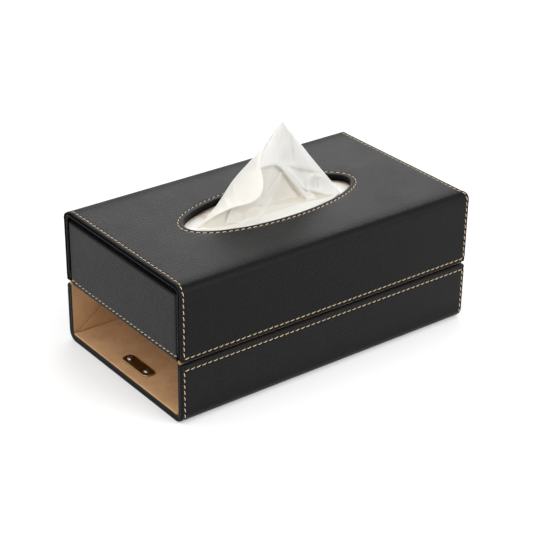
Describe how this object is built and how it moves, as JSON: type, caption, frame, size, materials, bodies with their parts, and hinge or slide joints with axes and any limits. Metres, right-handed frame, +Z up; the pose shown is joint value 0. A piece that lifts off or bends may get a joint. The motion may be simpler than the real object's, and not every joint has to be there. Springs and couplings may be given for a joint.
{
  "type": "tissue box with drawer",
  "caption": "Leather-covered tissue box: lift-off cover with an oval dispensing hole over a suede-lined sleeve with an open-fronted drawer.",
  "frame": {"origin": "middle of the underside, on the surface that the box stands on", "axes": "+X along the length, away from the drawer's open end; +Z up; +Y to the far long side"},
  "size_m": [0.25, 0.145, 0.161],
  "materials": {
    "leather": "black leather with a fine embossed grain, satin",
    "board": "bare fibreboard",
    "suede": "tan microfibre suede, matt",
    "tissue": "white tissue paper, matt",
    "antique_brass": "antique brass, dark and satin",
    "bright_metal": "polished"
  },
  "bodies": {
    "base": {"base_board": "board", "base_leather": "leather", "bay_lining": "suede", "bay_end_bindings": "leather", "base_rear_board": "board", "base_rear_leather": "leather", "deck_board": "board", "deck_suede": "suede", "tissue_pack": "tissue"},
    "cover": {"cover_board": "board", "cover_leather": "leather", "cover_end_facings": "leather", "cover_lining": "suede", "front_end_backing": "leather", "rear_end_backing": "leather", "front_panel_board": "board", "front_panel_leather": "leather", "rear_panel_board": "board", "rear_panel_leather": "leather"},
    "drawer": {"drawer_floor_board": "board", "drawer_side_near": "suede", "drawer_side_far": "suede", "drawer_back": "suede", "drawer_suede": "suede", "pull_plate": "antique_brass", "pull_rivets": "bright_metal", "rivet_washers": "bright_metal"},
    "tissue": {"tissue_sheet": "tissue"}
  },
  "joints": [
    {"name": "drawer_slide", "type": "slide", "parent": "base", "child": "drawer", "axis": [-1, 0, 0], "range_m": [0, 0.18]},
    {"name": "cover_lift", "type": "slide", "parent": "base", "child": "cover", "axis": [0, 0, 1], "range_m": [0, 0.12]},
    {"name": "tissue_pull", "type": "slide", "parent": "base", "child": "tissue", "axis": [0, 0, 1], "range_m": [0, 0.1]}
  ]
}
